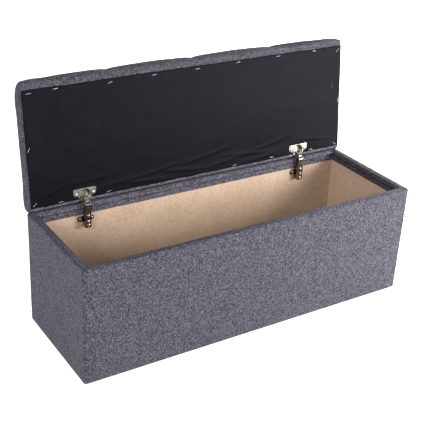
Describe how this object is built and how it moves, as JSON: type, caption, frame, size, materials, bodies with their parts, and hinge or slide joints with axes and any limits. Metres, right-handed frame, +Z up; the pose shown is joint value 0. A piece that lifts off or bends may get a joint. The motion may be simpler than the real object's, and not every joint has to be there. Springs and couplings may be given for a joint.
{
  "type": "storage bench",
  "caption": "Long upholstered box bench with a padded lid that folds open on concealed cup hinges over a chipboard storage compartment.",
  "frame": {"origin": "on the floor, at the middle of the extent of the open bench", "axes": "+X along the bench to its right end, -Y towards the front, +Z up; the lid is open at rest"},
  "size_m": [1, 0.3912, 0.6581],
  "materials": {
    "fabric": "woven melange",
    "dust_sheet": "non-woven felt",
    "chipboard": "raw pressed chips",
    "foam": "open cell",
    "nickel": "nickel plated",
    "plastic": "moulded"
  },
  "bodies": {
    "box": {"front_panel": "chipboard", "back_panel": "chipboard", "left_panel": "chipboard", "right_panel": "chipboard", "bottom_panel": "chipboard", "front_left_screw_low": "nickel", "front_left_screw_high": "nickel", "front_right_screw_low": "nickel", "front_right_screw_high": "nickel", "back_left_screw_low": "nickel", "back_left_screw_high": "nickel", "back_right_screw_low": "nickel", "back_right_screw_high": "nickel", "front_cover": "fabric", "right_cover": "fabric", "back_cover": "fabric", "left_cover": "fabric", "bottom_dust_cover": "dust_sheet", "front_left_glide": "plastic", "front_right_glide": "plastic", "back_left_glide": "plastic", "back_right_glide": "plastic", "left_mounting_plate": "nickel", "left_hinge_arm": "nickel", "left_plate_screw_a": "nickel", "left_plate_screw_b": "nickel", "left_adjusting_screw": "nickel", "left_fixing_screw": "nickel", "left_depth_screw": "nickel", "left_outer_arm_pin": "nickel", "left_inner_arm_pin": "nickel", "right_mounting_plate": "nickel", "right_hinge_arm": "nickel", "right_plate_screw_a": "nickel", "right_plate_screw_b": "nickel", "right_adjusting_screw": "nickel", "right_fixing_screw": "nickel", "right_depth_screw": "nickel", "right_outer_arm_pin": "nickel", "right_inner_arm_pin": "nickel"},
    "outer_links": {"left_outer_link": "nickel", "right_outer_link": "nickel"},
    "inner_links": {"left_inner_link": "nickel", "right_inner_link": "nickel"},
    "lid": {"lid_cover": "fabric", "lid_board": "chipboard", "lid_foam": "foam", "lid_dust_cover": "dust_sheet", "left_hinge_cup": "nickel", "left_cup_screw_a": "nickel", "left_cup_screw_b": "nickel", "left_outer_cup_pin": "nickel", "right_hinge_cup": "nickel", "right_cup_screw_a": "nickel", "right_cup_screw_b": "nickel", "right_outer_cup_pin": "nickel"}
  },
  "joints": [
    {"name": "outer_link_swing", "type": "hinge", "parent": "box", "child": "outer_links", "pos_m": [0, 0.1037, 0.327], "axis": [1, 0, 0], "range_deg": [-31.02, 0]},
    {"name": "lid_fold", "type": "hinge", "parent": "outer_links", "child": "lid", "pos_m": [0, 0.12305, 0.33824], "axis": [1, 0, 0], "range_deg": [0, 127.81]},
    {"name": "inner_link_swing", "type": "hinge", "parent": "box", "child": "inner_links", "pos_m": [0, 0.1087, 0.3345], "axis": [1, 0, 0], "range_deg": [-64.06, 0]}
  ],
  "couplings": [
    {"joint": "outer_link_swing", "follows": "lid_fold", "ratio": -0.24264},
    {"joint": "inner_link_swing", "follows": "lid_fold", "ratio": -0.50114}
  ]
}
